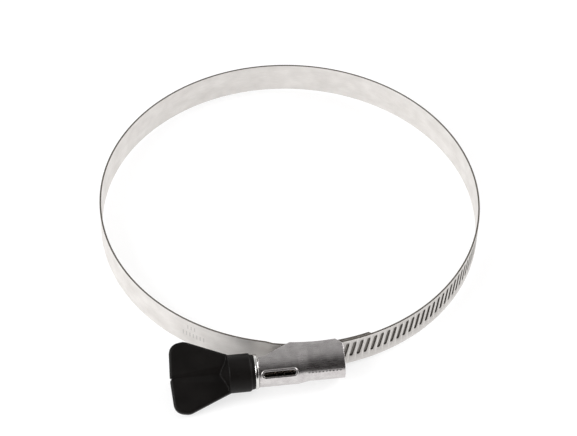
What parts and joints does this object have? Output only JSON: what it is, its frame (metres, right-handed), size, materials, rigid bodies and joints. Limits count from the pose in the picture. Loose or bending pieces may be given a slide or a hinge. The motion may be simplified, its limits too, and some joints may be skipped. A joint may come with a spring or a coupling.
{
  "type": "hose clamp",
  "caption": "Worm drive hose clamp with a slotted steel strap, a folded housing and a plastic wing on the screw for tightening by hand.",
  "frame": {"origin": "on the hose axis, at half the width of the strap", "axes": "+Z along the hose axis, screw axis parallel to X with the wing at -X, housing at -Y"},
  "size_m": [0.1329, 0.1484, 0.0136],
  "materials": {
    "strap_steel": "satin rolled strip",
    "housing_steel": "pressed sheet, half bright",
    "screw_steel": "bright turned",
    "wing_plastic": "black, fine moulded grain"
  },
  "bodies": {
    "root": {"housing": "housing_steel", "strap_fixed_end": "strap_steel"},
    "screw": {"worm_screw": "screw_steel", "wing_handle": "wing_plastic"},
    "slotted_end": {"strap_slotted_end": "strap_steel"},
    "span_1": {"strap_span_1": "strap_steel"},
    "span_2": {"strap_span_2": "strap_steel"},
    "span_3": {"strap_span_3": "strap_steel"},
    "span_4": {"strap_span_4": "strap_steel"},
    "span_5": {"strap_span_5": "strap_steel"},
    "span_6": {"strap_span_6": "strap_steel"},
    "span_7": {"strap_span_7": "strap_steel"},
    "span_8": {"strap_span_8": "strap_steel"}
  },
  "joints": [
    {"name": "screw_turn", "type": "hinge", "parent": "root", "child": "screw", "pos_m": [0, -0.07119, 0], "axis": [1, 0, 0], "range_deg": [0, 2520]},
    {"name": "strap_flex_9", "type": "hinge", "parent": "root", "child": "span_8", "pos_m": [-0.02094, -0.06206, 0], "axis": [0, 0, -1], "range_deg": [0, 1.7]},
    {"name": "strap_flex_8", "type": "hinge", "parent": "span_8", "child": "span_7", "pos_m": [-0.05519, -0.03528, 0], "axis": [0, 0, -1], "range_deg": [0, 1.7]},
    {"name": "strap_flex_7", "type": "hinge", "parent": "span_7", "child": "span_6", "pos_m": [-0.06512, 0.00705, 0], "axis": [0, 0, -1], "range_deg": [0, 1.7]},
    {"name": "strap_flex_6", "type": "hinge", "parent": "span_6", "child": "span_5", "pos_m": [-0.04636, 0.04627, 0], "axis": [0, 0, -1], "range_deg": [0, 1.7]},
    {"name": "strap_flex_5", "type": "hinge", "parent": "span_5", "child": "span_4", "pos_m": [-0.00718, 0.06511, 0], "axis": [0, 0, -1], "range_deg": [0, 1.7]},
    {"name": "strap_flex_4", "type": "hinge", "parent": "span_4", "child": "span_3", "pos_m": [0.03555, 0.05515, 0], "axis": [0, 0, -1], "range_deg": [0, 1.7]},
    {"name": "strap_flex_3", "type": "hinge", "parent": "span_3", "child": "span_2", "pos_m": [0.06269, 0.02058, 0], "axis": [0, 0, -1], "range_deg": [0, 1.7]},
    {"name": "strap_flex_2", "type": "hinge", "parent": "span_2", "child": "span_1", "pos_m": [0.06221, -0.02336, 0], "axis": [0, 0, -1], "range_deg": [0, 1.7]},
    {"name": "strap_flex_1", "type": "hinge", "parent": "span_1", "child": "slotted_end", "pos_m": [0.03433, -0.05733, 0], "axis": [0, 0, -1], "range_deg": [0, 1.7]}
  ],
  "couplings": [
    {"joint": "strap_flex_9", "follows": "screw_turn", "ratio": 0.00066206},
    {"joint": "strap_flex_8", "follows": "screw_turn", "ratio": 0.00066206},
    {"joint": "strap_flex_7", "follows": "screw_turn", "ratio": 0.00066206},
    {"joint": "strap_flex_6", "follows": "screw_turn", "ratio": 0.00066206},
    {"joint": "strap_flex_5", "follows": "screw_turn", "ratio": 0.00066206},
    {"joint": "strap_flex_4", "follows": "screw_turn", "ratio": 0.00066206},
    {"joint": "strap_flex_3", "follows": "screw_turn", "ratio": 0.00066206},
    {"joint": "strap_flex_2", "follows": "screw_turn", "ratio": 0.00066206},
    {"joint": "strap_flex_1", "follows": "screw_turn", "ratio": 0.00066206}
  ]
}
